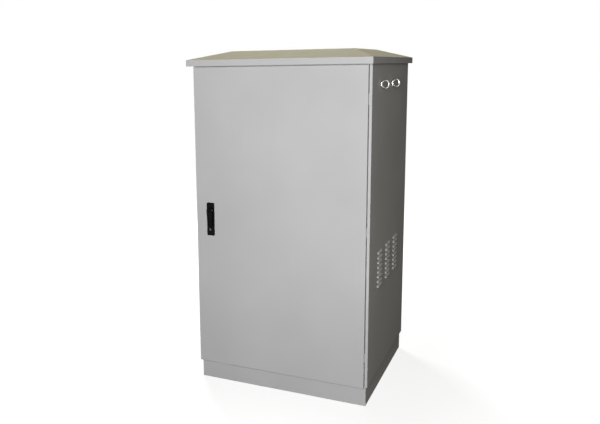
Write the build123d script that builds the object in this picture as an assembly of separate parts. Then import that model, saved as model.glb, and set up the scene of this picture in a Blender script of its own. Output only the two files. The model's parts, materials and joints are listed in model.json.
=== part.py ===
from build123d import *
import math
import os

# Roadside utility cabinet in millimetres. X runs to the right, Y to the back and Z up.
# The origin is the middle of the plinth's base, on the ground.

# Body
body_w = 800.0
body_d = 700.0
plinth_h = 90.0
shell_h = 1363.0
sheet = 1.5
bend = 1.0

# Clearances
overrun = 5.0
seat_gap = 0.3
running_gap = 0.05
screw_gap = 0.2

# Plinth
plinth_inset = 8.0
plinth_sheet = 2.5
plinth_flange = 50.0
anchor_d = 14.0
anchor_in = 30.0
anchor_end = 70.0

# Door frame, floor and top of the shell
frame_flange = 36.0
frame_lip = 12.0
header_h = 44.0
header_depth = 30.0
sill_h = 40.0
rear_flange = 25.0
plate_flange = 28.0
cable_slot_w = 320.0
cable_slot_d = 90.0
cable_slot_back = 150.0
trim_lip = 5.0
trim_wall = 2.5
top_slot_l = 46.0
top_slot_w = 7.0
top_slot_pitch = 66.0
top_slot_in = 55.0
top_slot_count = 10

# Rear panel
rear_margin = 4.0
rear_screw_rows = 5

# Fasteners: thread, head width and head height
m5_d = 5.0
m5_head_d = 10.0
m5_head_h = 2.8
m5_grip = 6.0
m8_d = 8.0
m8_head_w = 13.0
m8_head_h = 5.3
m8_grip = 14.0
floor_bolt_x = 230.0

# Roof
eave_side = 13.0
eave_front = 45.0
eave_back = 38.0
fascia_h = 27.0
roof_rise = 38.0
hip_run_x = 130.0
hip_run_y = 196.0
roof_sheet = 2.0
roof_edge = 2.5
drip_w = 10.0
spacer_d = 20.0
spacer_in_x = 65.0
spacer_in_y = 45.0
roof_bolt_grip = 30.0

# Side louvres, in columns along the depth and rows up the wall
louvre_l = 78.0
louvre_h = 11.0
louvre_proud = 6.5
louvre_taper = 6.0
louvre_nose = 3.0
louvre_rows = 8
louvre_pitch = 21.4
louvre_columns = 3
column_pitch = 150.0
louvre_in = 332.0
louvre_up = 476.0

# Filter behind the louvres
filter_t = 10.0
filter_cover = 24.0
filter_lip = 10.0
filter_brim = 14.0

# Lifting eyes
eye_front = 129.0
eye_rear = 333.0
eye_down = 84.0
eye_ring_r = 15.0
eye_stock_r = 3.0
eye_collar_d = 20.0
eye_collar_t = 6.0
eye_thread_l = 16.0
eye_nut_w = 13.0
eye_nut_h = 6.5

# Door
door_proud = 22.0
door_gap = 3.0
door_margin = 10.5
door_bottom_gap = 3.0
door_top_gap = 4.0
door_edge = 2.0
seal_w = 8.0
stiffener_depth = 16.0
stiffener_crown = 30.0
stiffener_brim = 15.0
stiffener_left = 130.0
stiffener_right = 50.0
stiffener_shares = (0.28, 0.72)

# Hinges
hinge_in = 7.5
hinge_back = 10.0
hinge_shares = (0.1, 0.5, 0.9)
hinge_pin_d = 6.0
hinge_wall = 2.5
hinge_ear = 6.0
hinge_knuckle = 26.0
hinge_foot_w = 13.0
hinge_foot_t = 2.5
hinge_lip_gap = 1.5
hinge_leaf_w = 13.0
hinge_leaf_t = 3.0
hinge_head_d = 9.0
hinge_head_h = 1.5
hinge_notch = 2.0

# Swing-handle lock
lock_in = 71.5
lock_up = 5.0
plate_w = 35.0
plate_h = 150.0
plate_t = 8.0
plate_corner = 5.0
plate_edge = 1.5
hub_down = 31.0
hub_d = 25.0
hub_t = 4.0
tongue_w = 8.0
shaft_d = 12.0
lever_w = 27.0
lever_t = 12.0
lever_l = 78.0
lever_tip_w = 21.0
lever_gap = 0.5
lever_edge = 2.0
lever_pin_d = 4.0
grip_l = 44.0
grip_w = 11.0
grip_depth = 3.0
key_down = 121.0
key_barrel_d = 18.0
key_plug_d = 10.0
key_proud = 2.5
key_depth = 16.0
keyway_w = 1.8
keyway_h = 7.0
keyway_depth = 6.0
key_nut_d = 26.0
key_nut_t = 4.0

# Rack-and-pinion lock work
gear_module = 2.0
gear_teeth = 12
gear_angle = 25.0
gear_backlash = 0.5
addendum_share = 0.8
dedendum_share = 1.1
flank_steps = 4
pinion_t = 6.0
pinion_in = 12.0
rod_t = 5.0
rod_w = 14.0
rack_up_count = 5
rack_down_count = 2
rod_tip_gap = 2.0
case_w = 70.0
case_h = 96.0
case_sheet = 2.0
case_depth = 23.0
lock_hole_gap = 1.0
guide_h = 18.0
guide_wall = 4.0
guide_share = 0.09
keeper_gap = 3.0

# 19-inch mounting posts, shelf and earth bar
rack_in = 90.0
rack_clear_w = 450.0
rack_hole_in = 7.55
rack_hole = 9.5
rack_hole_pitch = 15.875
rack_joint_pitch = 12.7
rack_foot = 70.0
post_sheet = 2.0
post_face = 37.0
post_leg = 40.0
strut_w = 32.0
strut_h = 24.0
strut_shares = (0.18, 0.82)
shelf_lap = 16.3
shelf_d = 360.0
shelf_wall = 38.0
shelf_tail = 12.0
shelf_side_gap = 3.0
shelf_screw_d = 6.0
shelf_screw_grip = 14.0
shelf_head_d = 12.0
shelf_head_h = 3.5
earth_l = 300.0
earth_w = 30.0
earth_t = 5.0
earth_back = 60.0
earth_post_d = 24.0
earth_post_h = 40.0
earth_post_x = 120.0
earth_bolt_pitch = 40.0
earth_bolt_count = 5

# Planes and lines that several pieces share
half_w = body_w / 2
front_y = -body_d / 2
back_y = body_d / 2
shell_top = plinth_h + shell_h
floor_top = plinth_h + sheet
open_x = half_w - frame_flange
lip_y = front_y - frame_lip
sill_z = plinth_h + sill_h
header_z = shell_top - header_h
door_y = front_y - door_proud
door_in_y = door_y + sheet
door_x = half_w - door_margin
door_z0 = plinth_h + door_bottom_gap
door_z1 = shell_top - door_top_gap
door_h = door_z1 - door_z0
hinge_x = door_x - hinge_in
hinge_y = front_y - door_gap - hinge_back
eye_z = shell_top - eye_down
louvre_mid_y = front_y + louvre_in
louvre_mid_z = plinth_h + louvre_up
hinge_heights = [door_z0 + door_h * share for share in hinge_shares]
lock_x = -door_x + lock_in
lock_z = (door_z0 + door_z1) / 2 + lock_up
hub_z = lock_z + plate_h / 2 - hub_down
key_z = lock_z + plate_h / 2 - key_down
pitch_r = gear_module * gear_teeth / 2
pinion_y = door_in_y + pinion_in
rack_hole_x = rack_clear_w / 2 + rack_hole_in
rack_unit = 2 * rack_hole_pitch + rack_joint_pitch
rack_units = int((shell_h - 2 * rack_foot) / rack_unit)
shelf_unit = rack_units // 2


def write(name, *shapes):
    """Writes one node, as one solid or as a group of separate solids."""
    solids = [solid for shape in shapes for solid in shape.solids()]
    whole = solids[0] if len(solids) == 1 else Compound(children=solids)
    export_step(whole, f"parts/{name}.step")


def block(low, high):
    """A box between two corners."""
    size = [b - a for a, b in zip(low, high)]
    middle = [(a + b) / 2 for a, b in zip(low, high)]
    return Pos(*middle) * Box(*size)


def rod_between(start, end, diameter):
    """A round bar from one point to another."""
    line = Vector(*end) - Vector(*start)
    return extrude(Plane(start, z_dir=line) * Circle(diameter / 2), line.length)


def hexagon_between(start, end, across):
    """A hexagonal bar from one point to another, given its width across the flats."""
    line = Vector(*end) - Vector(*start)
    section = Plane(start, z_dir=line) * RegularPolygon(across / 2, 6, major_radius=False)
    return extrude(section, line.length)


def bent_section(line, gauge):
    """Cross-section of a folded sheet that lies to the left of the given line."""
    near = [Vector(*point) for point in line]
    steps = [(b - a).normalized() for a, b in zip(near, near[1:])]
    sides = [Vector(-step.Y, step.X) for step in steps]
    far = [near[0] + sides[0] * gauge]
    for point, before, after in zip(near[1:-1], sides, sides[1:]):
        across = before + after
        far.append(point + across * (2 * gauge / across.dot(across)))
    far.append(near[-1] + sides[-1] * gauge)
    section = make_face(Polyline(*near, *reversed(far), close=True))
    for a, b, before, after in zip(near[1:-1], far[1:-1], steps, steps[1:]):
        turns_left = before.cross(after).Z > 0
        near_r, far_r = (bend + gauge, bend) if turns_left else (bend, bend + gauge)
        for corner, radius in ((a, near_r), (b, far_r)):
            section = fillet(section.vertices().sort_by_distance(corner)[0], radius)
    return section


def along_x(section, x0, x1):
    """A section drawn in Y and Z, run along X."""
    return Pos(x0, 0, 0) * extrude(Plane.YZ * section, x1 - x0)


def along_y(section, y0, y1):
    """A section drawn in X and Z, run along Y."""
    return Pos(0, y1, 0) * extrude(Plane.XZ * section, y1 - y0)


def along_z(section, z0, z1):
    """A section drawn in X and Y, run along Z."""
    return Pos(0, 0, z0) * extrude(section, z1 - z0)


def ring_block(outer_low, outer_high, inner_low, inner_high):
    """A box with a smaller box taken out of it."""
    return block(outer_low, outer_high) - block(inner_low, inner_high)


def both_sides(shape):
    """A piece of the right side and its mirror on the left."""
    return shape, mirror(shape, about=Plane.YZ)


# Plinth: four folded channels under the shell
def plinth_rails():
    web_x = half_w - plinth_inset
    web_y = body_d / 2 - plinth_inset
    line = [(plinth_flange, plinth_h), (0, plinth_h), (0, 0), (plinth_flange, 0)]
    channel = bent_section(line, plinth_sheet)
    front = along_x(Pos(-web_y, 0) * channel, -web_x, web_x)
    for end in (-1, 1):
        edge = end * (web_x - plinth_sheet)
        low = (min(edge, end * body_w), plinth_sheet - web_y, -overrun)
        high = (max(edge, end * body_w), 0, plinth_h + overrun)
        front -= block(low, high)
        anchor = (end * (web_x - anchor_end), 0, anchor_d)
        floor_bolt = (end * floor_bolt_x, plinth_h, m8_d + screw_gap * 2)
        for x, z, hole_d in (anchor, floor_bolt):
            spot = (x, anchor_in - web_y)
            front -= rod_between((*spot, z - overrun), (*spot, z + overrun), hole_d)
    side = along_y(Pos(-web_x, 0) * channel, plinth_sheet - web_y, web_y - plinth_sheet)
    for end in (-1, 1):
        edge = end * (web_y - plinth_flange)
        low = (plinth_sheet - web_x, min(edge, end * body_d), -overrun)
        high = (0, max(edge, end * body_d), plinth_h + overrun)
        side -= block(low, high)
    write("plinth_front_rail", front)
    write("plinth_rear_rail", mirror(front, about=Plane.XZ))
    write("plinth_left_rail", side)
    write("plinth_right_rail", mirror(side, about=Plane.YZ))


# Louvres: hoods pressed out of the wall, closed at the top and ends and open below
def hood(grow):
    """A tapered hood, smaller all round by the sheet where grow is zero."""
    thin = sheet * (1 - grow)
    tall = louvre_h - thin
    root_l = louvre_l - 2 * thin
    proud = louvre_proud - thin
    nose = louvre_nose - thin * louvre_nose / louvre_h
    drop = overrun * (1 - grow)
    root = Pos(0, (tall - drop) / 2) * Rectangle(root_l, tall + drop)
    tip = Pos(0, (nose - drop) / 2, proud) * Rectangle(root_l - 2 * louvre_taper, nose + drop)
    return loft([root, tip], ruled=True)


def louvre_places():
    for column in range(louvre_columns):
        for row in range(louvre_rows):
            y = louvre_mid_y + (column - (louvre_columns - 1) / 2) * column_pitch
            z = louvre_mid_z + (row - (louvre_rows - 1) / 2) * louvre_pitch
            yield y, z


# Side walls: one folded sheet each, with the door frame's flange and lip along its front
def side_panels():
    line = [
        (open_x, lip_y),
        (open_x, front_y),
        (half_w, front_y),
        (half_w, back_y),
        (half_w - rear_flange, back_y),
    ]
    wall = along_z(bent_section(line, sheet), plinth_h, shell_top)
    for z0, z1 in ((0, sill_z), (header_z, shell_top + overrun)):
        wall -= block((0, lip_y - overrun, z0), (open_x + bend, front_y, z1))
    outer, inner = hood(1), hood(0)
    faces = [Plane((half_w, y, z), x_dir=(0, 1, 0), z_dir=(1, 0, 0)) for y, z in louvre_places()]
    slot = Pos(0, (louvre_h - sheet) / 2, -sheet) * Box(louvre_l - 2 * sheet, louvre_h - sheet, sheet * 3)
    wall = wall - [face * slot for face in faces]
    wall = wall + [face * (outer - inner) for face in faces]
    for y in eye_places():
        wall -= rod_between((0, y, eye_z), (body_w, y, eye_z), m8_d + screw_gap * 2)
    for x, z in rear_screws():
        if x > 0:
            wall -= rod_between((x, 0, z), (x, body_d, z), m5_d + screw_gap * 2)
    right, left = both_sides(wall)
    write("right_side_panel", right)
    write("left_side_panel", left)


def eye_places():
    return front_y + eye_front, front_y + eye_rear


def rear_screws():
    """Places of the rear panel's screws, up both rear flanges."""
    span = shell_h - 2 * rear_flange
    for x in (-half_w + rear_flange / 2, half_w - rear_flange / 2):
        for row in range(rear_screw_rows):
            yield x, plinth_h + rear_flange + span * row / (rear_screw_rows - 1)


def rear_wall():
    low = (-half_w + rear_margin, back_y, plinth_h + rear_margin)
    high = (half_w - rear_margin, back_y + sheet, shell_top - rear_margin)
    panel = block(low, high)
    screws = []
    for x, z in rear_screws():
        panel -= rod_between((x, 0, z), (x, body_d, z), m5_d + screw_gap * 2)
        outside = back_y + sheet
        head = rod_between((x, outside, z), (x, outside + m5_head_h, z), m5_head_d)
        head = chamfer(head.faces().sort_by(Axis.Y)[-1].edges(), m5_head_h / 2)
        screws.append(head + rod_between((x, outside - m5_grip, z), (x, outside, z), m5_d))
    write("rear_panel", panel)
    write("rear_panel_screws", *screws)


# Head and sill of the door opening, between the two side walls' lips
def frame_rails():
    reach = open_x - sheet
    head_line = [
        (front_y + header_depth, shell_top),
        (front_y, shell_top),
        (front_y, header_z),
        (lip_y, header_z),
    ]
    sill_line = [(lip_y, sill_z), (front_y, sill_z), (front_y, plinth_h)]
    header = along_x(bent_section(head_line, sheet), -reach, reach)
    sill = along_x(bent_section(sill_line, sheet), -reach, reach)
    rod_x = pitch_r + gear_module * dedendum_share + rod_w / 2
    rails = (("header", header, header_z, -1), ("sill", sill, sill_z, 1))
    for name, rail, z, side in rails:
        x = lock_x + side * rod_x
        y = pinion_y + pinion_t / 2
        size = (rod_w + 2 * keeper_gap, rod_t + keeper_gap, sheet * 4)
        rail -= Pos(x, y, z) * Box(*size)
        write(f"door_frame_{name}", rail)


def floor_bolt_places():
    y = body_d / 2 - plinth_inset - anchor_in
    return [(x, side * y) for x in (-floor_bolt_x, floor_bolt_x) for side in (-1, 1)]


def cable_slot_y():
    return back_y - cable_slot_back


# Floor: a tray with an upturned rear flange and a rubber-edged cable slot
def shell_floor():
    front_edge = front_y + sheet + bend
    line = [(front_edge, plinth_h), (back_y, plinth_h), (back_y, plinth_h + plate_flange)]
    reach = half_w - sheet
    plate = along_x(bent_section(line, sheet), -reach, reach)
    for side in (-1, 1):
        inner = side * (half_w - rear_flange)
        low = (min(inner, side * body_w), back_y - 2 * (bend + sheet), 0)
        high = (max(inner, side * body_w), body_d, shell_top)
        plate -= block(low, high)
    slot_y = cable_slot_y()
    plate -= Pos(0, slot_y, plinth_h) * Box(cable_slot_w, cable_slot_d, plate_flange)
    bolts = []
    for x, y in floor_bolt_places():
        plate -= rod_between((x, y, 0), (x, y, shell_top), m8_d + screw_gap * 2)
        head = hexagon_between((x, y, floor_top), (x, y, floor_top + m8_head_h), m8_head_w)
        bolts.append(head + rod_between((x, y, floor_top - m8_grip), (x, y, floor_top), m8_d))
    write("floor_plate", plate)
    write("floor_bolts", *bolts)

    trim_z = plinth_h + sheet / 2
    trim_h = sheet + 2 * trim_wall
    outside = Box(cable_slot_w + 2 * trim_lip, cable_slot_d + 2 * trim_lip, trim_h)
    inside = Box(cable_slot_w - 2 * trim_wall, cable_slot_d - 2 * trim_wall, trim_h + overrun)
    groove = Box(body_w, body_d, sheet + seat_gap)
    groove -= Box(cable_slot_w - seat_gap, cable_slot_d - seat_gap, trim_h)
    write("cable_slot_trim", Pos(0, slot_y, trim_z) * (outside - inside - groove))


# Ceiling under the roof, with outlet slots along its front and rear
def shell_top_plate():
    above = shell_top + sheet
    line = [(back_y, above - plate_flange), (back_y, above), (front_y, above)]
    plate = along_x(bent_section(line, sheet), -half_w, half_w)
    for side in (-1, 1):
        inner = side * (half_w - rear_flange)
        low = (min(inner, side * body_w), back_y - sheet - bend, 0)
        high = (max(inner, side * body_w), body_d, shell_top)
        plate -= block(low, high)
    slots = []
    for side in (-1, 1):
        for index in range(top_slot_count):
            x = (index - (top_slot_count - 1) / 2) * top_slot_pitch
            y = side * (body_d / 2 - top_slot_in)
            slots.append(Pos(x, y, shell_top) * Box(top_slot_l, top_slot_w, plate_flange))
    plate = plate - slots
    for x, y in spacer_places():
        plate -= rod_between((x, y, shell_top - overrun), (x, y, above + overrun), m8_d + screw_gap * 2)
    write("top_plate", plate)


def spacer_places():
    """Places of the roof's spacers, in from the corners of its crown."""
    x = body_w / 2 + eave_side - hip_run_x - spacer_in_x
    reach = (body_d + eave_front + eave_back) / 2 - hip_run_y - spacer_in_y
    middle_y = (eave_back - eave_front) / 2
    return [(side * x, middle_y + end * reach) for side in (-1, 1) for end in (-1, 1)]


# Roof: a hipped sheet cap with a flat crown, a fascia all round and a turned-in drip edge
def hip_solid(inset):
    """The roof's outline, drawn in by the sheet."""
    width = body_w + 2 * eave_side - 2 * inset
    depth = body_d + eave_front + eave_back - 2 * inset
    middle_y = (eave_back - eave_front) / 2
    eave_z = shell_top + fascia_h
    outline = RectangleRounded(width, depth, roof_edge)
    base = Pos(0, middle_y, shell_top) * outline
    eave = Pos(0, middle_y, eave_z - inset / 2) * outline
    crown = RectangleRounded(width - 2 * hip_run_x, depth - 2 * hip_run_y, roof_edge)
    crown = Pos(0, middle_y, eave_z + roof_rise - inset) * crown
    return extrude(base, fascia_h - inset / 2) + loft([eave, crown], ruled=True)


def roof():
    shell = hip_solid(0) - hip_solid(roof_sheet)
    width = body_w + 2 * eave_side - 2 * roof_sheet
    depth = body_d + eave_front + eave_back - 2 * roof_sheet
    middle_y = (eave_back - eave_front) / 2
    drip = RectangleRounded(width, depth, roof_edge)
    drip -= Rectangle(width - 2 * drip_w, depth - 2 * drip_w)
    shell += Pos(0, middle_y, shell_top) * extrude(drip, roof_sheet)
    foot = shell_top + sheet
    head = shell_top + fascia_h + roof_rise - roof_sheet
    spacers = []
    bolts = []
    for x, y in spacer_places():
        spacer = rod_between((x, y, foot), (x, y, head), spacer_d)
        spacers.append(spacer - rod_between((x, y, foot), (x, y, head), m8_d + screw_gap * 2))
        bolt = hexagon_between((x, y, shell_top - m8_head_h), (x, y, shell_top), m8_head_w)
        bolts.append(bolt + rod_between((x, y, shell_top), (x, y, shell_top + roof_bolt_grip), m8_d))
    write("roof_cap", shell)
    write("roof_spacers", *spacers)
    write("roof_bolts", *bolts)


# Lifting eyes: forged rings on a collar, screwed through the wall into a nut
def lifting_eyes():
    eyes = []
    nuts = []
    wall_in = half_w - sheet
    for y in eye_places():
        ring_x = half_w + eye_collar_t / 2 + eye_ring_r + eye_stock_r
        eye = Pos(ring_x, y, eye_z) * Rot(90, 0, 0) * Torus(eye_ring_r, eye_stock_r)
        eye += rod_between((half_w, y, eye_z), (half_w + eye_collar_t, y, eye_z), eye_collar_d)
        eye += rod_between((half_w - eye_thread_l, y, eye_z), (half_w, y, eye_z), m8_d)
        nut = hexagon_between((wall_in - eye_nut_h, y, eye_z), (wall_in, y, eye_z), eye_nut_w)
        nut -= rod_between((0, y, eye_z), (half_w, y, eye_z), m8_d + running_gap * 2)
        eyes.append(eye)
        nuts += both_sides(nut)
    write("lifting_eyes_right", *eyes)
    write("lifting_eyes_left", *[mirror(eye, about=Plane.YZ) for eye in eyes])
    write("lifting_eye_nuts", *nuts)


# Dust filters behind the louvres, each in a folded frame on the wall
def filters():
    half_y = (column_pitch * (louvre_columns - 1) + louvre_l) / 2 + filter_cover
    half_z = louvre_pitch * (louvre_rows - 1) / 2 + filter_cover
    middle = Pos(half_w - sheet, louvre_mid_y, louvre_mid_z + louvre_h / 2)
    depth = filter_t + sheet + 2 * seat_gap

    def slab(x0, x1, grow):
        return block((x0, -half_y - grow, -half_z - grow), (x1, half_y + grow, half_z + grow))

    frame = slab(-depth, 0, sheet + seat_gap) + slab(-sheet, 0, filter_brim)
    frame -= slab(sheet - depth, overrun, seat_gap)
    frame -= slab(-depth - overrun, overrun, -filter_lip)
    pad = slab(-seat_gap - filter_t, -seat_gap, 0)
    for name, shape in (("filter_frame", frame), ("dust_filter", pad)):
        right, left = both_sides(middle * shape)
        write(f"{name}_right", right)
        write(f"{name}_left", left)


# Door: one folded pan with cut-outs for the hinges and the lock
def door_leaf():
    rear_y = front_y - door_gap
    pan = block((-door_x, door_y, door_z0), (door_x, rear_y, door_z1))
    rims = pan.faces().sort_by(Axis.Y)[0].edges() + pan.edges().filter_by(Axis.Y)
    pan = fillet(rims, door_edge)
    low = (sheet - door_x, door_in_y, door_z0 + sheet)
    pan -= block(low, (door_x - sheet, rear_y + overrun, door_z1 - sheet))
    tall = hinge_knuckle / 2 + hinge_ear + hinge_notch
    for z in hinge_heights:
        pan -= block((hinge_x, door_in_y, z - tall), (half_w, front_y, z + tall))
    for z, diameter in ((hub_z, shaft_d), (key_z, key_barrel_d)):
        pan -= rod_between((lock_x, -body_d, z), (lock_x, 0, z), diameter + 2 * lock_hole_gap)
    write("door_panel", pan)


def door_fittings():
    lip_x = open_x - sheet / 2
    lip_low = sill_z + sheet / 2
    lip_high = header_z - sheet / 2
    half = seal_w / 2
    near = lip_y - seat_gap
    seal = ring_block(
        (-lip_x - half, door_in_y, lip_low - half),
        (lip_x + half, near, lip_high + half),
        (half - lip_x, door_y, lip_low + half),
        (lip_x - half, 0, lip_high - half),
    )
    write("door_seal", seal)
    brim_y = door_in_y + sheet
    crown_y = door_in_y + stiffener_depth
    half_crown = stiffener_crown / 2
    brim_z = half_crown + stiffener_brim
    hat = [
        (brim_y, -brim_z),
        (brim_y, -half_crown),
        (crown_y, -half_crown),
        (crown_y, half_crown),
        (brim_y, half_crown),
        (brim_y, brim_z),
    ]
    for name, share in zip(("lower", "upper"), stiffener_shares):
        rail = along_x(bent_section(hat, sheet), stiffener_left - door_x, door_x - stiffener_right)
        write(f"door_stiffener_{name}", Pos(0, 0, door_z0 + door_h * share) * rail)


# Hinges hidden in the door's edge: an eared bracket on the frame, a knuckle on the door, a pin
def hinges():
    pin_r = hinge_pin_d / 2
    barrel_r = pin_r + hinge_wall
    foot_x0 = open_x + hinge_lip_gap
    foot_y = front_y - hinge_foot_t
    half = hinge_knuckle / 2
    tall = half + hinge_ear
    axis_place = Pos(hinge_x, hinge_y)
    foot = Pos(foot_x0 + hinge_foot_w / 2, front_y - hinge_foot_t / 2)
    foot *= Rectangle(hinge_foot_w, hinge_foot_t)
    ear = make_hull((foot + axis_place * Circle(barrel_r)).edges())
    ear -= axis_place * Circle(pin_r + running_gap)
    leaf = Pos(hinge_x - hinge_leaf_w / 2, door_in_y + hinge_leaf_t / 2)
    leaf *= Rectangle(hinge_leaf_w, hinge_leaf_t)
    knuckle = make_hull((leaf + axis_place * Circle(barrel_r)).edges())
    knuckle -= axis_place * Circle(pin_r + running_gap)
    pins = []
    for place, z in zip(("lower", "middle", "upper"), hinge_heights):
        bracket = along_z(ear, z + half, z + tall) + along_z(ear, z - tall, z - half)
        bracket += block((foot_x0, foot_y, z - tall), (foot_x0 + hinge_foot_w, front_y, z + tall))
        write(f"hinge_bracket_{place}", bracket)
        write(f"hinge_knuckle_{place}", along_z(knuckle, z + seat_gap - half, z + half - seat_gap))
        spot = (hinge_x, hinge_y)
        pin = rod_between((*spot, z - tall), (*spot, z + tall), hinge_pin_d)
        pin += rod_between((*spot, z + tall), (*spot, z + tall + hinge_head_h), hinge_head_d)
        pins.append(pin)
    write("hinge_pins", *pins)


# Swing handle: back plate, hub with tongue and shaft, lever and its pin, key barrel and plug
def handle():
    face_y = door_y - plate_t
    outline = Plane.XZ * (Pos(lock_x, lock_z) * RectangleRounded(plate_w, plate_h, plate_corner))
    plate = Pos(0, door_y, 0) * extrude(outline, plate_t)
    plate = fillet(plate.faces().sort_by(Axis.Y)[0].edges(), plate_edge)
    hub_end = (lock_x, face_y + hub_t, hub_z)
    recess = (lock_x, face_y - overrun, hub_z)
    through = (lock_x, 0, hub_z)
    plate -= rod_between(recess, (lock_x, face_y + hub_t + seat_gap, hub_z), hub_d + 2 * seat_gap)
    plate -= rod_between(recess, through, shaft_d + 2 * running_gap)
    key_front = (lock_x, face_y - key_proud, key_z)
    plate -= rod_between((lock_x, -body_d, key_z), (lock_x, 0, key_z), key_barrel_d + 2 * running_gap)
    write("handle_plate", plate)

    pin_y = face_y - lever_gap - lever_t / 2
    hub = rod_between((lock_x, face_y, hub_z), hub_end, hub_d)
    tongue = Plane.YZ * (Pos(pin_y, hub_z) * Circle(lever_t / 2 - lever_gap))
    tongue = Pos(lock_x - tongue_w / 2, 0, 0) * extrude(tongue, tongue_w)
    low = (lock_x - tongue_w / 2, pin_y, hub_z - lever_t / 2 + lever_gap)
    high = (lock_x + tongue_w / 2, face_y, hub_z + lever_t / 2 - lever_gap)
    hub += tongue + block(low, high)
    shaft_end = (lock_x, door_in_y + case_depth, hub_z)
    hub += rod_between(hub_end, shaft_end, shaft_d)
    pin_ends = [(lock_x + side * lever_w / 2, pin_y, hub_z) for side in (-1, 1)]
    hub -= rod_between(*pin_ends, lever_pin_d + 2 * running_gap)
    write("handle_hub", hub)
    write("lever_pin", rod_between(*pin_ends, lever_pin_d))

    half_t = lever_t / 2
    side_view = Pos(pin_y, hub_z - lever_l / 2) * Rectangle(lever_t, lever_l)
    side_view += Pos(pin_y, hub_z) * Circle(half_t)
    lever = along_x(side_view, lock_x - lever_w / 2, lock_x + lever_w / 2)
    low_end = hub_z - lever_l
    tip_r = lever_tip_w / 2
    front_view = Rectangle(lever_w, lever_t) + Pos(0, tip_r - lever_l) * Circle(tip_r)
    front_view = Pos(lock_x, hub_z) * make_hull(front_view.edges())
    lever &= along_y(front_view, pin_y - lever_t, pin_y + lever_t)
    lever = chamfer(lever.faces().sort_by(Axis.Y)[0].edges(), lever_edge)
    grip = Plane.XZ * (Pos(lock_x, low_end + grip_l / 2 + half_t) * SlotOverall(grip_l, grip_w, 90))
    front = pin_y - half_t
    lever -= Pos(0, front + grip_depth, 0) * extrude(grip, grip_depth + overrun)
    slot_half = tongue_w / 2 + seat_gap
    slot_low = (lock_x - slot_half, -body_d, hub_z - half_t - lever_gap)
    lever -= block(slot_low, (lock_x + slot_half, 0, hub_z + lever_t))
    lever -= rod_between(*pin_ends, lever_pin_d + 2 * running_gap)
    write("handle_lever", lever)

    barrel = rod_between(key_front, (lock_x, door_in_y + key_depth, key_z), key_barrel_d)
    bore = ((lock_x, -body_d, key_z), (lock_x, 0, key_z))
    barrel -= rod_between(*bore, key_plug_d + 2 * running_gap)
    write("key_barrel", barrel)
    plug = rod_between(key_front, (lock_x, door_in_y + key_depth, key_z), key_plug_d)
    plug -= Pos(lock_x, key_front[1], key_z) * Box(keyway_w, 2 * keyway_depth, keyway_h)
    write("key_plug", plug)
    nut_back = (lock_x, door_in_y + key_nut_t, key_z)
    nut = hexagon_between((lock_x, door_in_y, key_z), nut_back, key_nut_d)
    write("key_barrel_nut", nut - rod_between(*bore, key_barrel_d + 2 * running_gap))


def involute(radius, base_r):
    angle = math.acos(min(1.0, base_r / radius))
    return math.tan(angle) - angle


def pinion_outline():
    """Spur-gear outline with a tooth along each of its two X directions."""
    slope = math.radians(gear_angle)
    base_r = pitch_r * math.cos(slope)
    tip_r = pitch_r + gear_module * addendum_share
    root_r = pitch_r - gear_module * dedendum_share
    half_pitch = math.pi / (2 * gear_teeth) - gear_backlash / (4 * pitch_r)
    rise = [base_r + (tip_r - base_r) * step / flank_steps for step in range(flank_steps + 1)]
    flank = [(r, half_pitch + involute(pitch_r, base_r) - involute(r, base_r)) for r in rise]
    flank = [(root_r, flank[0][1])] + flank
    points = []
    for tooth in range(gear_teeth):
        middle = 2 * math.pi * tooth / gear_teeth
        spread = [(r, -a) for r, a in flank] + [(r, a) for r, a in reversed(flank)]
        points += [(r * math.cos(middle + a), r * math.sin(middle + a)) for r, a in spread]
    return make_face(Polyline(*points, close=True))


def rack_teeth(first, last):
    """Straight rack teeth from a root line at X zero, with a space centred on Y zero."""
    pitch = math.pi * gear_module
    slope = math.tan(math.radians(gear_angle))
    up = gear_module * addendum_share
    down = gear_module * dedendum_share
    half = pitch / 4 - gear_backlash / 4
    tooth = [(0, half + down * slope), (up + down, half - up * slope)]
    tooth += [(x, -y) for x, y in reversed(tooth)]
    face = make_face(Polyline(*tooth, close=True))
    return [Pos(0, (index + 1 / 2) * pitch) * face for index in range(first, last)]


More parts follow.
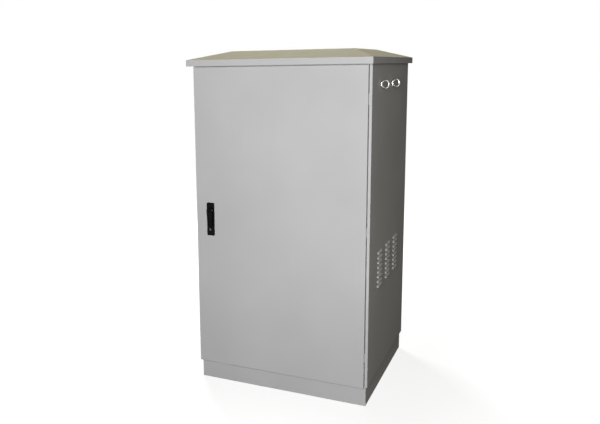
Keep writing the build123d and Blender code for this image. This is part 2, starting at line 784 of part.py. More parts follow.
# Lock work behind the door: a pinion on the hub's shaft drives two toothed rods
def lock_work():
    y1 = pinion_y + pinion_t
    gear = Pos(lock_x, hub_z) * pinion_outline() - Pos(lock_x, hub_z) * Circle(shaft_d / 2 + running_gap)
    write("lock_pinion", along_y(gear, pinion_y, y1))

    down = gear_module * dedendum_share
    pitch = math.pi * gear_module
    y0 = pinion_y + (pinion_t - rod_t) / 2
    top = header_z - sheet - rod_tip_gap
    bottom = sill_z + sheet + rod_tip_gap
    rack_low = hub_z - rack_down_count * pitch
    for name, side, end in (("upper", -1, top), ("lower", 1, bottom)):
        root_x = lock_x + side * (pitch_r + down)
        near, far = (rack_low, end) if side < 0 else (end, hub_z + rack_down_count * pitch)
        bar = Pos(root_x + side * rod_w / 2, (near + far) / 2) * Rectangle(rod_w, far - near)
        spaces = (-rack_down_count, rack_up_count) if side < 0 else (-rack_up_count, rack_down_count)
        teeth = [tooth if side < 0 else mirror(tooth, about=Plane.YZ) for tooth in rack_teeth(*spaces)]
        profile = bar + [Pos(root_x, hub_z) * tooth for tooth in teeth]
        write(f"lock_rod_{name}", along_y(profile, y0, y0 + rod_t))

        guide_x = root_x + side * rod_w / 2
        guide_z = door_z1 - door_h * guide_share if side < 0 else door_z0 + door_h * guide_share
        half = rod_w / 2 + guide_wall
        low = (guide_x - half, door_in_y, guide_z - guide_h / 2)
        high = (guide_x + half, y0 + rod_t + guide_wall, guide_z + guide_h / 2)
        gap_low = (guide_x - rod_w / 2 - seat_gap, y0 - seat_gap, guide_z - guide_h)
        gap_high = (guide_x + rod_w / 2 + seat_gap, y0 + rod_t + seat_gap, guide_z + guide_h)
        write(f"rod_guide_{name}", ring_block(low, high, gap_low, gap_high))

    half_case = case_w / 2
    cover_y = door_in_y + case_depth - case_sheet
    line = [
        (lock_x - half_case, cover_y),
        (lock_x - half_case, door_in_y),
        (lock_x + half_case, door_in_y),
        (lock_x + half_case, cover_y),
    ]
    z0, z1 = hub_z - case_h / 2, hub_z + case_h / 2
    bore = rod_between((lock_x, -body_d, hub_z), (lock_x, 0, hub_z), shaft_d + 2 * running_gap)
    write("lock_case", along_z(bent_section(line, case_sheet), z0, z1) - bore)
    high = (lock_x + half_case, door_in_y + case_depth, z1)
    cover = block((lock_x - half_case, cover_y, z0), high)
    write("lock_cover", cover - bore)


def rack_hole_z(unit):
    """Height of the middle one of a rack unit's three holes."""
    return floor_top + rack_foot + unit * rack_unit


# Four mounting posts with square holes, held off the walls by folded struts
def posts():
    edge = rack_clear_w / 2
    face_y = front_y + rack_in
    line = [(edge, face_y), (edge + post_face, face_y), (edge + post_face, face_y + post_leg)]
    post = along_z(bent_section(line, post_sheet), floor_top, shell_top)
    hole = Box(rack_hole, post_sheet * 4, rack_hole)
    steps = [step * rack_hole_pitch for step in (-1, 0, 1)]
    heights = [rack_hole_z(unit) + step for unit in range(rack_units) for step in steps]
    post = post - [Pos(rack_hole_x, face_y, z) * hole for z in heights]
    outer = edge + post_face
    wall = half_w - sheet
    half = strut_w / 2
    middle_y = face_y + post_leg / 2
    channel = [
        (middle_y + half, -strut_h),
        (middle_y + half, 0),
        (middle_y - half, 0),
        (middle_y - half, -strut_h),
    ]
    strut = along_x(bent_section(channel, post_sheet), outer, wall)
    struts = [Pos(0, 0, plinth_h + shell_h * share) * strut for share in strut_shares]
    for end, about in (("front", None), ("rear", Plane.XZ)):
        shape = mirror(post, about=about) if about else post
        right, left = both_sides(shape)
        write(f"rack_post_{end}_right", right)
        write(f"rack_post_{end}_left", left)
    struts += [mirror(strut, about=Plane.XZ) for strut in struts]
    write("post_struts", *struts, *[mirror(strut, about=Plane.YZ) for strut in struts])


# Shelf: a cantilever tray with a flat face that screws to the front posts
def shelf():
    face_y = front_y + rack_in
    z0 = rack_hole_z(shelf_unit) - rack_unit / 2
    z1 = z0 + rack_unit
    end_x = rack_clear_w / 2 + shelf_lap
    front = block((-end_x, face_y - post_sheet, z0), (end_x, face_y, z1))
    half = rack_clear_w / 2 - shelf_side_gap
    line = [(-half, z0 + shelf_wall), (-half, z0), (half, z0), (half, z0 + shelf_wall)]
    tray = along_y(bent_section(line, sheet), face_y, face_y + shelf_d)
    slope = [
        (face_y + shelf_wall, z0 + shelf_wall),
        (face_y + shelf_d, z0 + shelf_tail),
        (face_y + shelf_d, z0 + shelf_wall),
    ]
    tray -= along_x(make_face(Polyline(*slope, close=True)), -body_w, body_w)
    screws = []
    for side in (-1, 1):
        x = side * rack_hole_x
        z = rack_hole_z(shelf_unit)
        outside = face_y - post_sheet
        front -= rod_between((x, outside - overrun, z), (x, 0, z), shelf_screw_d + 2 * screw_gap)
        screw = rod_between((x, outside - shelf_head_h, z), (x, outside, z), shelf_head_d)
        screw = chamfer(screw.faces().sort_by(Axis.Y)[0].edges(), shelf_head_h / 3)
        screws.append(screw + rod_between((x, outside, z), (x, face_y + shelf_screw_grip, z), shelf_screw_d))
    write("equipment_shelf", front + tray)
    write("shelf_screws", *screws)


# Earth bar on two insulators at the back of the floor
def earth_bar():
    y = back_y - earth_back
    foot = floor_top
    bar_z = foot + earth_post_h
    low = (-earth_l / 2, y - earth_w / 2, bar_z)
    bar = block(low, (earth_l / 2, y + earth_w / 2, bar_z + earth_t))
    posts_of_bar = [
        rod_between((side * earth_post_x, y, foot), (side * earth_post_x, y, bar_z), earth_post_d)
        for side in (-1, 1)
    ]
    bolts = []
    for index in range(earth_bolt_count):
        x = (index - (earth_bolt_count - 1) / 2) * earth_bolt_pitch
        head = hexagon_between((x, y, bar_z + earth_t), (x, y, bar_z + earth_t + m8_head_h), m8_head_w)
        shank = rod_between((x, y, bar_z - earth_t), (x, y, bar_z + earth_t), m8_d)
        bar -= rod_between((x, y, bar_z - earth_t), (x, y, shell_top), m8_d + 2 * screw_gap)
        bolts.append(head + shank)
    write("earth_bar", bar)
    write("earth_insulators", *posts_of_bar)
    write("earth_bolts", *bolts)


os.makedirs("parts", exist_ok=True)
plinth_rails()
side_panels()
rear_wall()
frame_rails()
shell_floor()
shell_top_plate()
roof()
lifting_eyes()
filters()
door_leaf()
door_fittings()
hinges()
handle()
lock_work()
posts()
shelf()
earth_bar()
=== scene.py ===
import json
import math

import bmesh
import bpy
from mathutils import Matrix, Vector


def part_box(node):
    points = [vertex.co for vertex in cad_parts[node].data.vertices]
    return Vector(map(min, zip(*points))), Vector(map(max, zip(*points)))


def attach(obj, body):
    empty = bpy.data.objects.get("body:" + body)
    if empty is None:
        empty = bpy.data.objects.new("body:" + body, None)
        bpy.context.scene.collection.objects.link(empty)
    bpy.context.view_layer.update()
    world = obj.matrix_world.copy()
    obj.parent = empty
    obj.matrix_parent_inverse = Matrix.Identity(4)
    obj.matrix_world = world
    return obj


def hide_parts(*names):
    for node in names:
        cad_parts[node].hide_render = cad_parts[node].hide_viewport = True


# Roadside utility cabinet: finishes, small fasteners, studio and camera, in metres.

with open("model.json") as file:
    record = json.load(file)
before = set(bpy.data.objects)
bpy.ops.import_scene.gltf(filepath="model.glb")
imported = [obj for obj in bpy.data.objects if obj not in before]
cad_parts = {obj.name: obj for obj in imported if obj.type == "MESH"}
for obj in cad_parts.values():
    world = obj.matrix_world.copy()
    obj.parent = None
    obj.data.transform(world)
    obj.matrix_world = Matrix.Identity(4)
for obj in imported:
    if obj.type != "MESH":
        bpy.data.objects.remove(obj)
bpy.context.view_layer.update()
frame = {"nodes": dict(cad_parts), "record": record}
nodes = frame["nodes"]
scene = bpy.context.scene
MM = 0.001
COLOURS = {"data_type": "RGBA"}
ROUND_SIDES = 24
SMOOTH_ANGLE = math.radians(35)


def linear(code):
    """An sRGB hex colour as linear RGBA."""
    levels = [int(code[i:i + 2], 16) / 255 for i in (1, 3, 5)]
    return [v / 12.92 if v <= 0.04045 else ((v + 0.055) / 1.055) ** 2.4 for v in levels] + [1.0]


def scale_for(size_mm):
    """Texture scale at which one cell of a pattern is this size."""
    return 1.0 / (size_mm * MM)


def add(tree, kind, settings=None, **inputs):
    """Adds a node, sets its properties, and sets its inputs or links them to sockets or nodes.

    An input goes by its name, or by its number, as in i1, where several share a name.
    A node that is linked gives its first output in use.
    """
    node = tree.nodes.new(kind)
    for name, value in (settings or {}).items():
        setattr(node, name, value)
    for name, value in inputs.items():
        if name[1:].isdigit():
            socket = node.inputs[int(name[1:])]
        else:
            label = name.replace("_", " ")
            socket = next(each for each in node.inputs if each.enabled and each.name == label)
        if isinstance(value, bpy.types.Node):
            value = next(each for each in value.outputs if each.enabled)
        if isinstance(value, bpy.types.NodeSocket):
            tree.links.new(value, socket)
        else:
            socket.default_value = value
    return node


def new_material(name):
    """An empty node material, with its tree and its Object coordinates."""
    material = bpy.data.materials.new(name)
    material.use_nodes = True
    tree = material.node_tree
    tree.nodes.clear()
    place = add(tree, "ShaderNodeTexCoord").outputs["Object"]
    return material, tree, place


# Polyester powder coat, sprayed and baked on steel sheet: a dull grey skin with faint clouds about 420 mm
# across and upright washed streaks about 28 mm wide. Its pebbles are about 0.8 mm across and are drawn at
# 2 mm, with painted shade in the hollows between them, so that they show. It has no mirror share, because
# that would bleach what is seen at a slant in the white surround. Faces that look up take a beige tint in
# patches of about 60 mm.
def powder_coat(name, upward_tint=None):
    pale = linear("#CBCBCC")
    deep = linear("#C2C2C3")
    painted_hollow_shade = linear("#AEAEAF")
    material, tree, place = new_material(name)
    broad = add(tree, "ShaderNodeTexNoise", Vector=place, Scale=scale_for(420), Detail=3.0)
    cloud = add(tree, "ShaderNodeMapRange", Value=broad, From_Min=0.3, From_Max=0.7)
    colour = add(tree, "ShaderNodeMix", COLOURS, Factor=cloud, A=pale, B=deep)
    upright = add(tree, "ShaderNodeMapping", Vector=place, Scale=(1.0, 1.0, 0.06))
    streaks = add(tree, "ShaderNodeTexNoise", Vector=upright, Scale=scale_for(28), Detail=4.0)
    washed = add(tree, "ShaderNodeMapRange", Value=streaks, From_Min=0.52, From_Max=0.8, To_Max=0.22)
    colour = add(tree, "ShaderNodeMix", COLOURS, Factor=washed, A=colour, B=deep)
    pebbles = add(tree, "ShaderNodeTexNoise", Vector=place, Scale=scale_for(2), Detail=2.0)
    # Painted shade: the hollows between the pebbles are darkened towards a deeper grey, so that they show.
    hollow_shade_amount = add(tree, "ShaderNodeMapRange", Value=pebbles, From_Min=0.35, From_Max=0.65, To_Max=0.3)
    colour = add(tree, "ShaderNodeMix", COLOURS, Factor=hollow_shade_amount, A=colour, B=painted_hollow_shade)
    # Faces that look up take a beige tint, in patches of about 60 mm.
    if upward_tint:
        normal = add(tree, "ShaderNodeTexCoord").outputs["Normal"]
        rise = add(tree, "ShaderNodeSeparateXYZ", Vector=normal).outputs["Z"]
        facing_up = add(tree, "ShaderNodeMapRange", Value=rise, From_Min=0.3, From_Max=0.95, To_Max=0.8)
        patches = add(tree, "ShaderNodeTexNoise", Vector=place, Scale=scale_for(60), Detail=6.0)
        tinted_patches = add(tree, "ShaderNodeMapRange", Value=patches, From_Min=0.25, From_Max=0.6, To_Min=0.55)
        amount = add(tree, "ShaderNodeMath", {"operation": "MULTIPLY"}, i0=facing_up, i1=tinted_patches)
        colour = add(tree, "ShaderNodeMix", COLOURS, Factor=amount, A=colour, B=linear(upward_tint))
    skin = add(tree, "ShaderNodeBump", Height=pebbles, Strength=0.2, Distance=0.25 * MM)
    rough = add(tree, "ShaderNodeMapRange", Value=pebbles, From_Min=0.3, From_Max=0.7,
                To_Min=0.55, To_Max=0.68)
    shader = add(tree, "ShaderNodeBsdfPrincipled", Base_Color=colour, Roughness=rough, Normal=skin,
                 IOR=1.5, Specular_IOR_Level=0.0)
    add(tree, "ShaderNodeOutputMaterial", Surface=shader)
    return material


# Zinc-plated steel sheet and fasteners: silver with a cool cast, a faint spangle of grains
# about 9 mm across, and fine rolling marks, drawn 1.5 mm wide so that they show.
def zinc_plate():
    material, tree, place = new_material("zinc_plated_steel")
    grains = add(tree, "ShaderNodeTexVoronoi", Vector=place, Scale=scale_for(9))
    tints = add(tree, "ShaderNodeSeparateColor", Color=grains.outputs["Color"])
    spangle = add(tree, "ShaderNodeMapRange", Value=tints.outputs["Red"], To_Max=0.6)
    colour = add(tree, "ShaderNodeMix", COLOURS, Factor=spangle, A=linear("#C3C7CB"), B=linear("#A5AAB0"))
    rough = add(tree, "ShaderNodeMapRange", Value=tints.outputs["Green"], To_Min=0.34, To_Max=0.46)
    upright = add(tree, "ShaderNodeMapping", Vector=place, Scale=(1.0, 1.0, 0.03))
    marks = add(tree, "ShaderNodeTexNoise", Vector=upright, Scale=scale_for(1.5), Detail=3.0)
    rolled = add(tree, "ShaderNodeBump", Height=marks, Strength=0.08, Distance=0.1 * MM)
    shader = add(tree, "ShaderNodeBsdfPrincipled", Base_Color=colour, Roughness=rough, Normal=rolled,
                 Metallic=1.0)
    add(tree, "ShaderNodeOutputMaterial", Surface=shader)
    return material


# Nickel plate on steel: grey metal with soft wear marks about 3 mm long, mirror-like or dulled.
def nickel_plate(name, pale, deep, smooth, worn):
    material, tree, place = new_material(name)
    wear = add(tree, "ShaderNodeTexNoise", Vector=place, Scale=scale_for(3), Detail=5.0)
    rubbed = add(tree, "ShaderNodeMapRange", Value=wear, From_Min=0.4, From_Max=0.7, To_Max=0.5)
    colour = add(tree, "ShaderNodeMix", COLOURS, Factor=rubbed, A=linear(pale), B=linear(deep))
    rough = add(tree, "ShaderNodeMapRange", Value=wear, From_Min=0.35, From_Max=0.7,
                To_Min=smooth, To_Max=worn)
    shader = add(tree, "ShaderNodeBsdfPrincipled", Base_Color=colour, Roughness=rough, Metallic=1.0)
    add(tree, "ShaderNodeOutputMaterial", Surface=shader)
    return material


# Die-cast zinc with a black coat: satin black with a fine cast grain, about 0.6 mm and drawn at 1.2 mm so
# that it shows, and rubbed patches of about 14 mm that are a little paler and smoother.
def black_casting():
    material, tree, place = new_material("black_coated_die_cast_zinc")
    grain = add(tree, "ShaderNodeTexNoise", Vector=place, Scale=scale_for(1.2), Detail=3.0)
    patches = add(tree, "ShaderNodeTexNoise", Vector=place, Scale=scale_for(14), Detail=4.0)
    rubbed = add(tree, "ShaderNodeMapRange", Value=patches, From_Min=0.45, From_Max=0.75)
    colour = add(tree, "ShaderNodeMix", COLOURS, Factor=rubbed, A=linear("#030303"), B=linear("#0A0A0B"))
    rough = add(tree, "ShaderNodeMapRange", Value=patches, From_Min=0.3, From_Max=0.7,
                To_Min=0.56, To_Max=0.42)
    cast = add(tree, "ShaderNodeBump", Height=grain, Strength=0.12, Distance=0.15 * MM)
    shader = add(tree, "ShaderNodeBsdfPrincipled", Base_Color=colour, Roughness=rough, Normal=cast,
                 IOR=1.5, Specular_IOR_Level=0.08)
    add(tree, "ShaderNodeOutputMaterial", Surface=shader)
    return material


# Extruded rubber: matt black with a greyish bloom in patches of about 10 mm.
def seal_rubber():
    material, tree, place = new_material("extruded_rubber")
    bloom = add(tree, "ShaderNodeTexNoise", Vector=place, Scale=scale_for(10), Detail=5.0)
    greyed = add(tree, "ShaderNodeMapRange", Value=bloom, From_Min=0.35, From_Max=0.75)
    colour = add(tree, "ShaderNodeMix", COLOURS, Factor=greyed, A=linear("#191A1A"), B=linear("#2B2C2C"))
    rough = add(tree, "ShaderNodeMapRange", Value=bloom, From_Min=0.3, From_Max=0.7,
                To_Min=0.72, To_Max=0.86)
    shader = add(tree, "ShaderNodeBsdfPrincipled", Base_Color=colour, Roughness=rough, IOR=1.52)
    add(tree, "ShaderNodeOutputMaterial", Surface=shader)
    return material


# Needled filter fleece: white fibres matted at about 1 mm and drawn at 2.5 mm, so that they show, with
# grey dust in patches of about 70 mm.
def filter_fleece():
    material, tree, place = new_material("needled_filter_fleece")
    fibres = add(tree, "ShaderNodeTexNoise", Vector=place, Scale=scale_for(2.5), Detail=8.0, Distortion=1.5)
    raised = add(tree, "ShaderNodeMapRange", Value=fibres, From_Min=0.3, From_Max=0.7)
    colour = add(tree, "ShaderNodeMix", COLOURS, Factor=raised, A=linear("#C9C8C2"), B=linear("#E4E3DE"))
    soiling = add(tree, "ShaderNodeTexNoise", Vector=place, Scale=scale_for(70), Detail=3.0)
    soiled = add(tree, "ShaderNodeMapRange", Value=soiling, From_Min=0.45, From_Max=0.8, To_Max=0.5)
    colour = add(tree, "ShaderNodeMix", COLOURS, Factor=soiled, A=colour, B=linear("#A9A598"))
    matted = add(tree, "ShaderNodeBump", Height=fibres, Strength=0.6, Distance=0.8 * MM)
    shader = add(tree, "ShaderNodeBsdfPrincipled", Base_Color=colour, Roughness=0.95, Normal=matted)
    add(tree, "ShaderNodeOutputMaterial", Surface=shader)
    return material


# Bare drawn copper: warm metal with brown tarnish in patches of about 15 mm.
def drawn_copper():
    material, tree, place = new_material("drawn_copper")
    tarnish = add(tree, "ShaderNodeTexNoise", Vector=place, Scale=scale_for(15), Detail=6.0)
    browned = add(tree, "ShaderNodeMapRange", Value=tarnish, From_Min=0.4, From_Max=0.7, To_Max=0.7)
    colour = add(tree, "ShaderNodeMix", COLOURS, Factor=browned, A=linear("#CF8460"), B=linear("#8E5238"))
    rough = add(tree, "ShaderNodeMapRange", Value=tarnish, From_Min=0.35, From_Max=0.7,
                To_Min=0.28, To_Max=0.5)
    shader = add(tree, "ShaderNodeBsdfPrincipled", Base_Color=colour, Roughness=rough, Metallic=1.0)
    add(tree, "ShaderNodeOutputMaterial", Surface=shader)
    return material


# Moulded glass-filled polyester: dull red with a mottle of about 4 mm.
def red_polyester():
    material, tree, place = new_material("moulded_polyester")
    mottle = add(tree, "ShaderNodeTexNoise", Vector=place, Scale=scale_for(4), Detail=4.0)
    darker = add(tree, "ShaderNodeMapRange", Value=mottle, From_Min=0.35, From_Max=0.7)
    colour = add(tree, "ShaderNodeMix", COLOURS, Factor=darker, A=linear("#9A3324"), B=linear("#7C2519"))
    rough = add(tree, "ShaderNodeMapRange", Value=mottle, From_Min=0.3, From_Max=0.7,
                To_Min=0.42, To_Max=0.55)
    shader = add(tree, "ShaderNodeBsdfPrincipled", Base_Color=colour, Roughness=rough)
    add(tree, "ShaderNodeOutputMaterial", Surface=shader)
    return material


finishes = {
    "grey_powder_coat": powder_coat("light_grey_powder_coat"),
    "zinc_plated_steel": zinc_plate(),
    "bright_steel": nickel_plate("polished_nickel_plate", "#CBC9C3", "#A19D95", smooth=0.14, worn=0.3),
    "black_coated_zinc": black_casting(),
    "black_rubber": seal_rubber(),
    "filter_fleece": filter_fleece(),
    "copper_bar": drawn_copper(),
    "red_insulator": red_polyester(),
}
for part in frame["record"]["subparts"]:
    for slot in nodes[part["node"]].material_slots:
        slot.material = finishes[part["material_slot"]]
own_finishes = {
    "roof_cap": powder_coat("beige_topped_grey_powder_coat", upward_tint="#BAB390"),
    "key_plug": nickel_plate("dulled_nickel_plate", "#6B6862", "#4E4B46", smooth=0.4, worn=0.55),
}
for name, finish in own_finishes.items():
    for slot in nodes[name].material_slots:
        slot.material = finish


# Small pieces that the solids leave out, modelled once and copied to their places.
def pick_faces(piece, wanted):
    """Selects the faces of a piece in edit mode for which wanted(face) is true."""
    bpy.ops.mesh.select_mode(type="FACE")
    mesh = bmesh.from_edit_mesh(piece.data)
    for face in mesh.faces:
        face.select_set(wanted(face))
    mesh.select_flush_mode()
    bmesh.update_edit_mesh(piece.data)


def pick_edges(piece, wanted):
    """Selects the edges of a piece in edit mode for which wanted(edge) is true."""
    bpy.ops.mesh.select_mode(type="EDGE")
    bpy.ops.mesh.select_all(action="DESELECT")
    mesh = bmesh.from_edit_mesh(piece.data)
    for edge in mesh.edges:
        edge.select_set(wanted(edge))
    mesh.select_flush_mode()
    bmesh.update_edit_mesh(piece.data)


def socket_screw(radius, height):
    """A button-head screw standing on the ground plane, with a round socket in its domed top."""
    near_top = height * 0.9
    dome = height * 0.6
    rim = radius * 0.22
    socket_depth = height * 0.55
    flat = 0.99
    bpy.ops.object.select_all(action="DESELECT")
    bpy.ops.mesh.primitive_cylinder_add(
        vertices=ROUND_SIDES, radius=radius, depth=height, location=(0, 0, height / 2))
    screw = bpy.context.object
    bpy.ops.object.transform_apply(location=True)
    bpy.ops.object.mode_set(mode="EDIT")
    pick_edges(screw, lambda edge: all(v.co.z > near_top for v in edge.verts))
    bpy.ops.mesh.bevel(offset=dome, segments=3)
    pick_faces(screw, lambda face: face.normal.z > flat)
    bpy.ops.mesh.inset(thickness=rim)
    bpy.ops.mesh.extrude_region_move(TRANSFORM_OT_translate={"value": (0, 0, -socket_depth)})
    bpy.ops.object.mode_set(mode="OBJECT")
    return screw


def hexagon_bolt(width, height):
    """A hexagon bolt head on its washer, standing on the ground plane, with chamfered corners."""
    washer = height * 0.3
    washer_radius = width * 0.8
    near_washer_top = washer * 0.9
    washer_chamfer = washer * 0.3
    top = washer + height
    near_top = top * 0.95
    chamfer = height * 0.14
    bpy.ops.object.select_all(action="DESELECT")
    bpy.ops.mesh.primitive_cylinder_add(
        vertices=ROUND_SIDES, radius=washer_radius, depth=washer, location=(0, 0, washer / 2))
    bolt = bpy.context.object
    bpy.ops.object.transform_apply(location=True)
    bpy.ops.object.mode_set(mode="EDIT")
    pick_edges(bolt, lambda edge: all(v.co.z > near_washer_top for v in edge.verts))
    bpy.ops.mesh.bevel(offset=washer_chamfer, segments=1)
    bpy.ops.mesh.select_all(action="DESELECT")
    bpy.ops.mesh.primitive_cylinder_add(
        vertices=6, radius=width / math.sqrt(3), depth=height, location=(0, 0, washer + height / 2))
    pick_edges(bolt, lambda edge: all(v.co.z > near_top for v in edge.verts))
    bpy.ops.mesh.bevel(offset=chamfer, segments=1)
    bpy.ops.object.mode_set(mode="OBJECT")
    return bolt


def finish_piece(piece, name, body, slot):
    """Names a piece, shades it, gives it its finish and sets it on its body."""
    piece.name = name
    bpy.ops.object.shade_smooth_by_angle(angle=SMOOTH_ANGLE)
    piece.data.materials.clear()
    piece.data.materials.append(finishes[slot])
    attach(piece, body)


def set_out(name, model, places, facing, body, slot):
    """Copies a modelled piece to each place with its top facing one way, as one piece on a body."""
    turn = Vector((0, 0, 1)).rotation_difference(Vector(facing)).to_matrix().to_4x4()
    bpy.ops.object.select_all(action="DESELECT")
    for place in places:
        copy = model.copy()
        copy.data = model.data.copy()
        copy.data.transform(Matrix.Translation(place) @ turn)
        scene.collection.objects.link(copy)
        copy.select_set(True)
        bpy.context.view_layer.objects.active = copy
    bpy.ops.object.join()
    finish_piece(bpy.context.object, name, body, slot)


def lock_screws():
    """A screw in each corner of the lock cover."""
    low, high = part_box("lock_cover")
    inset = 8 * MM
    across = (low.x + inset, high.x - inset)
    levels = (low.z + inset, high.z - inset)
    spots = [(x, high.y, z) for x in across for z in levels]
    screw = socket_screw(radius=3.2 * MM, height=1.9 * MM)
    set_out("lock_cover_screws", screw, spots, (0, 1, 0), "door", "zinc_plated_steel")
    bpy.data.objects.remove(screw)


def hinge_screws():
    """One screw in the foot of each hinge bracket, between its two ears."""
    foot_thickness = 2.5 * MM
    inset = 5.5 * MM
    spots = []
    for level in ("lower", "middle", "upper"):
        low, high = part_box(f"hinge_bracket_{level}")
        spots.append((low.x + inset, high.y - foot_thickness, (low.z + high.z) / 2))
    screw = socket_screw(radius=3.5 * MM, height=2.0 * MM)
    set_out("hinge_bracket_screws", screw, spots, (0, -1, 0), "cabinet", "zinc_plated_steel")
    bpy.data.objects.remove(screw)


def filter_screws():
    """Screws through the brim of each filter frame into the wall."""
    brim_thickness = 1.5 * MM
    inset = 6.5 * MM
    screw = socket_screw(radius=3.0 * MM, height=1.8 * MM)
    for side, inward in (("right", -1), ("left", 1)):
        low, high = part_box(f"filter_frame_{side}")
        brim = high.x - brim_thickness if inward < 0 else low.x + brim_thickness
        along = (low.y + inset, (low.y + high.y) / 2, high.y - inset)
        levels = (low.z + inset, high.z - inset)
        spots = [(brim, y, z) for y in along for z in levels]
        set_out(f"filter_screws_{side}", screw, spots, (inward, 0, 0), "cabinet", "zinc_plated_steel")
    bpy.data.objects.remove(screw)


def strut_bolts():
    """Bolts that hold the struts, on the inner face of each post's leg."""
    strut_height = 24 * MM
    post_sheet = 2 * MM
    bolt = hexagon_bolt(width=10 * MM, height=4.5 * MM)
    low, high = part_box("post_struts")
    levels = (low.z + strut_height / 2, high.z - strut_height / 2)
    for side, inward in (("right", -1), ("left", 1)):
        spots = []
        for end in ("front", "rear"):
            post_low, post_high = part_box(f"rack_post_{end}_{side}")
            leg = post_high.x - post_sheet if inward < 0 else post_low.x + post_sheet
            spots += [(leg, (post_low.y + post_high.y) / 2, z) for z in levels]
        set_out(f"strut_bolts_{side}", bolt, spots, (inward, 0, 0), "cabinet", "zinc_plated_steel")
    bpy.data.objects.remove(bolt)


def seal_strip():
    """The door's rubber seal: a strip round the opening with a rounded face towards the frame."""
    low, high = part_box("door_seal")
    width = 8 * MM
    rounding = width * 0.42
    near_face = high.y - 0.01 * MM
    flat = 0.9

    def on_rim(edge):
        """True for an edge between the strip's outer face and one of its sides."""
        flat_faces = [face for face in edge.link_faces if abs(face.normal.y) > flat]
        return len(flat_faces) == 1 and all(v.co.y > near_face for v in edge.verts)

    bpy.ops.object.select_all(action="DESELECT")
    bpy.ops.mesh.primitive_plane_add(size=1.0, rotation=(math.pi / 2, 0, 0), location=(low + high) / 2)
    strip = bpy.context.object
    strip.scale = (high.x - low.x, high.z - low.z, 1.0)
    strip.location.y = low.y
    bpy.ops.object.transform_apply(location=True, rotation=True, scale=True)
    bpy.ops.object.mode_set(mode="EDIT")
    bpy.ops.mesh.select_mode(type="FACE")
    bpy.ops.mesh.select_all(action="SELECT")
    bpy.ops.mesh.inset(thickness=width)
    bpy.ops.mesh.delete(type="FACE")
    bpy.ops.mesh.select_all(action="SELECT")
    bpy.ops.mesh.extrude_region_move(TRANSFORM_OT_translate={"value": (0, high.y - low.y, 0)})
    pick_edges(strip, on_rim)
    bpy.ops.mesh.bevel(offset=rounding, segments=4)
    bpy.ops.mesh.select_all(action="SELECT")
    bpy.ops.mesh.normals_make_consistent(inside=False)
    bpy.ops.object.mode_set(mode="OBJECT")
    finish_piece(strip, "door_seal_strip", "door", "black_rubber")
    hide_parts("door_seal")


lock_screws()
hinge_screws()
filter_screws()
strut_bolts()
seal_strip()


# Studio: a pale floor that keeps a soft shadow, a white surround and soft lamps.
def seen_ray(tree):
    """One for rays that the eye, a mirror or glass sends out, else zero."""
    path = add(tree, "ShaderNodeLightPath")
    seen = path.outputs["Is Camera Ray"]
    for name in ("Is Glossy Ray", "Is Transmission Ray"):
        seen = add(tree, "ShaderNodeMath", {"operation": "MAXIMUM"}, i0=seen, i1=path.outputs[name])
    return seen


def floor():
    """A floor that shows nearly white, fades to white further out, and throws little light back."""
    bpy.ops.object.select_all(action="DESELECT")
    bpy.ops.mesh.primitive_plane_add(size=40.0, location=(0.0, 0.0, -0.5 * MM))
    plane = bpy.context.object
    plane.name = "studio_floor"
    material, tree, place = new_material("pale_studio_floor")
    dim = add(tree, "ShaderNodeBsdfDiffuse", Color=linear("#383838"))
    matt = add(tree, "ShaderNodeBsdfDiffuse", Color=linear("#949494"))
    reach = add(tree, "ShaderNodeVectorMath", {"operation": "LENGTH"}, i0=place)
    fade = add(tree, "ShaderNodeMapRange", Value=reach, From_Min=0.7, From_Max=2.2, To_Min=0.8)
    glow = add(tree, "ShaderNodeEmission", Color=linear("#FFFFFF"), Strength=fade)
    both = add(tree, "ShaderNodeAddShader", i0=matt, i1=glow)
    shown = add(tree, "ShaderNodeMixShader", Fac=seen_ray(tree), i1=dim, i2=both)
    add(tree, "ShaderNodeOutputMaterial", Surface=shown)
    plane.data.materials.append(material)


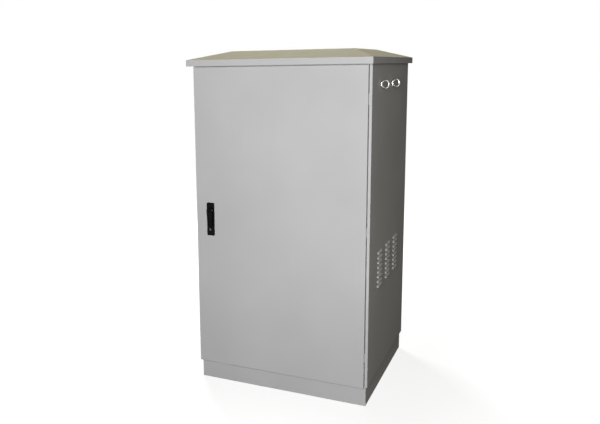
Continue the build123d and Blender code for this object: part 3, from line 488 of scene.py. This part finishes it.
def surround():
    """A world that shows white and lights the object faintly, with a warm and stronger right side."""
    world = bpy.data.worlds.new("studio_surround")
    scene.world = world
    world.use_nodes = True
    tree = world.node_tree
    tree.nodes.clear()
    place = add(tree, "ShaderNodeTexCoord").outputs["Generated"]
    way = add(tree, "ShaderNodeSeparateXYZ", Vector=place)
    rightward = add(tree, "ShaderNodeMapRange", Value=way.outputs["X"], From_Min=-0.2, From_Max=0.4)
    strength = add(tree, "ShaderNodeMapRange", Value=rightward, To_Min=0.02, To_Max=0.11)
    tint = add(tree, "ShaderNodeMix", COLOURS, Factor=rightward, A=linear("#FFFFFF"), B=linear("#FFEAC4"))
    soft = add(tree, "ShaderNodeBackground", Color=tint, Strength=strength)
    white = add(tree, "ShaderNodeBackground", Color=linear("#FFFFFF"), Strength=1.0)
    shown = add(tree, "ShaderNodeMixShader", Fac=seen_ray(tree), i1=soft, i2=white)
    add(tree, "ShaderNodeOutputWorld", Surface=shown)


def lamp(name, place, target, width, height, power):
    """A rectangular soft lamp at a place, turned to a target."""
    data = bpy.data.lights.new(name, "AREA")
    data.shape = "RECTANGLE"
    data.size = width
    data.size_y = height
    data.energy = power
    softbox = bpy.data.objects.new(name, data)
    scene.collection.objects.link(softbox)
    softbox.location = place
    softbox.rotation_euler = (Vector(target) - Vector(place)).to_track_quat("-Z", "Y").to_euler()


floor()
surround()
lamp("front_softbox", (0.95, -3.4, 1.55), (0.0, -0.4, 1.3), width=0.8, height=0.8, power=102)
lamp("rear_softbox", (-2.5, 2.7, 2.0), (-0.1, 0.1, 0.8), width=1.4, height=1.4, power=150)
lamp("top_softbox", (0.0, -0.1, 3.2), (0.0, 0.0, 1.5), width=0.6, height=0.5, power=17.5)

# Camera, at the photograph's viewing angle.
camera_place = (1.0697, -3.0522, 1.4490)
camera_yaw = 0.4340
camera_pitch = 0.1723
camera_roll = -0.0154
ahead = Vector((-math.sin(camera_yaw) * math.cos(camera_pitch),
                math.cos(camera_yaw) * math.cos(camera_pitch),
                -math.sin(camera_pitch)))
level = Vector((math.cos(camera_yaw), math.sin(camera_yaw), 0.0))
upright = level.cross(ahead)
right = level * math.cos(camera_roll) + upright * math.sin(camera_roll)
upward = upright * math.cos(camera_roll) - level * math.sin(camera_roll)
turn = Matrix((right, upward, -ahead)).transposed().to_4x4()
camera = bpy.data.objects.new("camera", bpy.data.cameras.new("camera"))
scene.collection.objects.link(camera)
camera.matrix_world = Matrix.Translation(camera_place) @ turn
camera.data.lens = 41.15
camera.data.sensor_width = 36.0
camera.data.shift_x = 0.1
camera.data.shift_y = -0.0433
scene.camera = camera
scene.view_settings.view_transform = "Standard"
